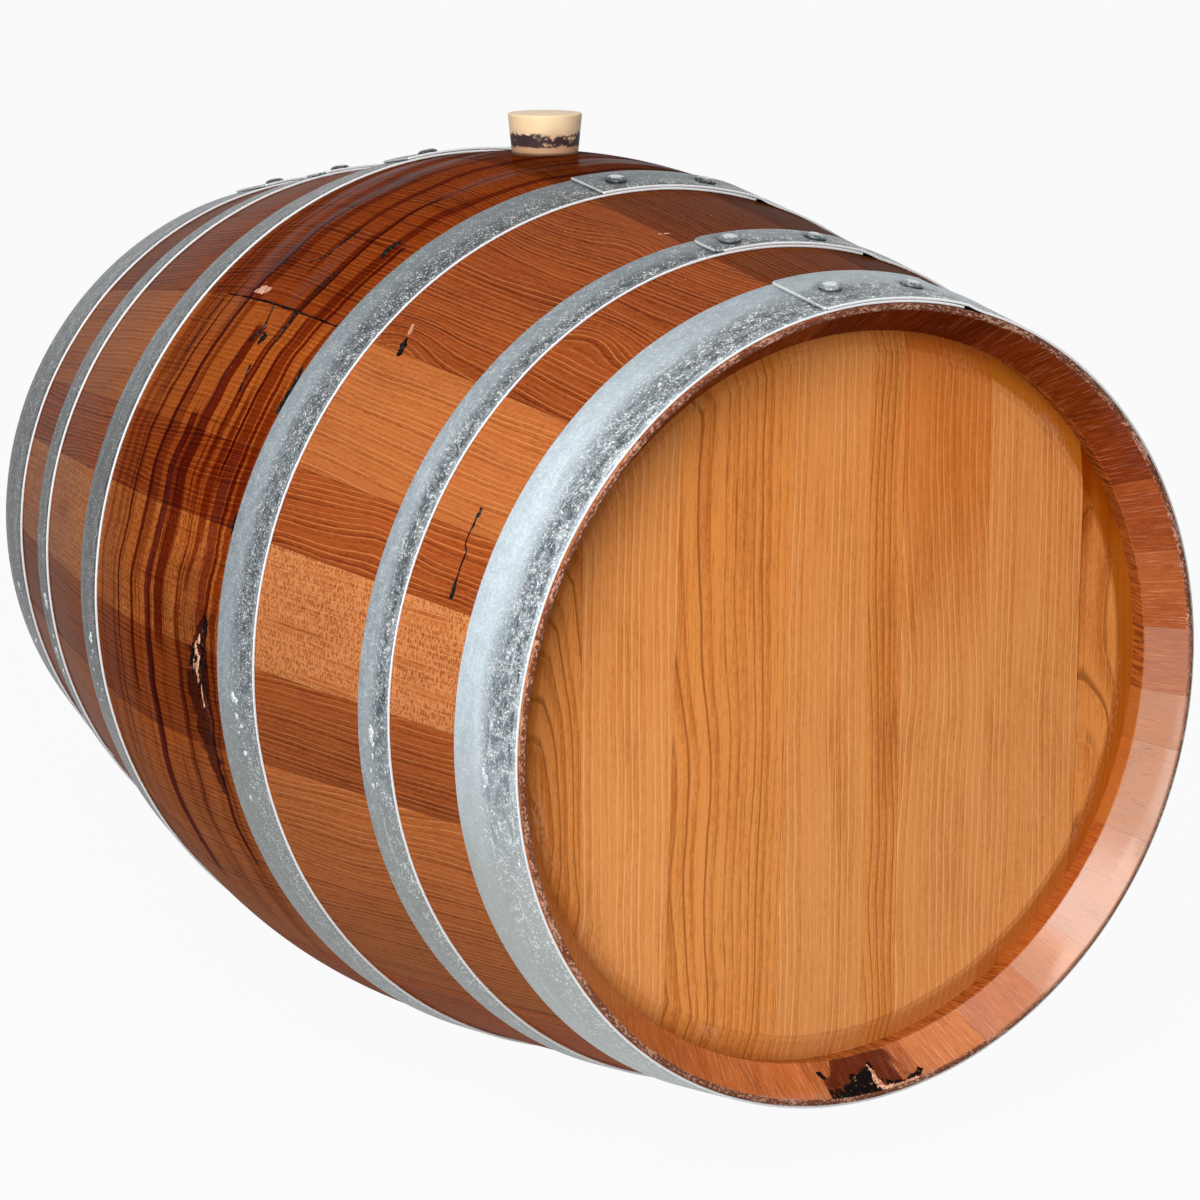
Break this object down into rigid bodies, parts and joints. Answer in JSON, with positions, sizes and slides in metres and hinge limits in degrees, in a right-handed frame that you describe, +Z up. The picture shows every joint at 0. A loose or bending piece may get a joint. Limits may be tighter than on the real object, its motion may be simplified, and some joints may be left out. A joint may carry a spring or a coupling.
{
  "type": "wooden barrel",
  "caption": "Wooden wine barrel lying on its side: bent staves in galvanised riveted hoops, boarded bevelled heads and a lift-out tapered bung.",
  "frame": {"origin": "lowest point of the bilge, half-way along the barrel, where a rack or cradle carries it", "axes": "+X along the barrel's axis and out of the front head, +Z up through the bung, +Y completes a right-handed frame"},
  "size_m": [0.95, 0.7258, 0.7575],
  "materials": {
    "stave_wood": "oiled, glossy orange-brown planed acacia staves, wine-stained round the bung",
    "head_wood": "sanded golden-orange acacia boards, satin",
    "hoop_zinc": "hot-dip galvanised steel strap, mottled blue-grey zinc",
    "rivet_zinc": "galvanised steel, domed heads",
    "bung_silicone": "matt cream food-grade silicone, wine-stained at the base"
  },
  "bodies": {
    "root": {"bung_stave": "stave_wood", "stave_02": "stave_wood", "stave_03": "stave_wood", "stave_04": "stave_wood", "stave_05": "stave_wood", "stave_06": "stave_wood", "stave_07": "stave_wood", "stave_08": "stave_wood", "stave_09": "stave_wood", "stave_10": "stave_wood", "stave_11": "stave_wood", "stave_12": "stave_wood", "stave_13": "stave_wood", "stave_14": "stave_wood", "stave_15": "stave_wood", "stave_16": "stave_wood", "stave_17": "stave_wood", "stave_18": "stave_wood", "stave_19": "stave_wood", "stave_20": "stave_wood", "stave_21": "stave_wood", "stave_22": "stave_wood", "stave_23": "stave_wood", "stave_24": "stave_wood", "stave_25": "stave_wood", "front_head_board_1": "head_wood", "front_head_board_2": "head_wood", "front_head_board_3": "head_wood", "front_head_board_4": "head_wood", "front_head_board_5": "head_wood", "front_head_board_6": "head_wood", "front_head_board_7": "head_wood", "front_head_board_8": "head_wood", "rear_head_board_1": "head_wood", "rear_head_board_2": "head_wood", "rear_head_board_3": "head_wood", "rear_head_board_4": "head_wood", "rear_head_board_5": "head_wood", "rear_head_board_6": "head_wood", "rear_head_board_7": "head_wood", "front_chime_hoop": "hoop_zinc", "front_quarter_hoop": "hoop_zinc", "front_bilge_hoop": "hoop_zinc", "rear_bilge_hoop": "hoop_zinc", "rear_quarter_hoop": "hoop_zinc", "rear_chime_hoop": "hoop_zinc", "front_chime_hoop_rivet_1": "rivet_zinc", "front_chime_hoop_rivet_2": "rivet_zinc", "front_quarter_hoop_rivet_1": "rivet_zinc", "front_quarter_hoop_rivet_2": "rivet_zinc", "front_bilge_hoop_rivet_1": "rivet_zinc", "front_bilge_hoop_rivet_2": "rivet_zinc", "rear_bilge_hoop_rivet_1": "rivet_zinc", "rear_bilge_hoop_rivet_2": "rivet_zinc", "rear_quarter_hoop_rivet_1": "rivet_zinc", "rear_quarter_hoop_rivet_2": "rivet_zinc", "rear_chime_hoop_rivet_1": "rivet_zinc", "rear_chime_hoop_rivet_2": "rivet_zinc"},
    "bung": {"bung": "bung_silicone"}
  },
  "joints": [
    {"name": "bung_lift", "type": "slide", "parent": "root", "child": "bung", "axis": [0, 0, 1], "range_m": [0, 0.09]}
  ]
}
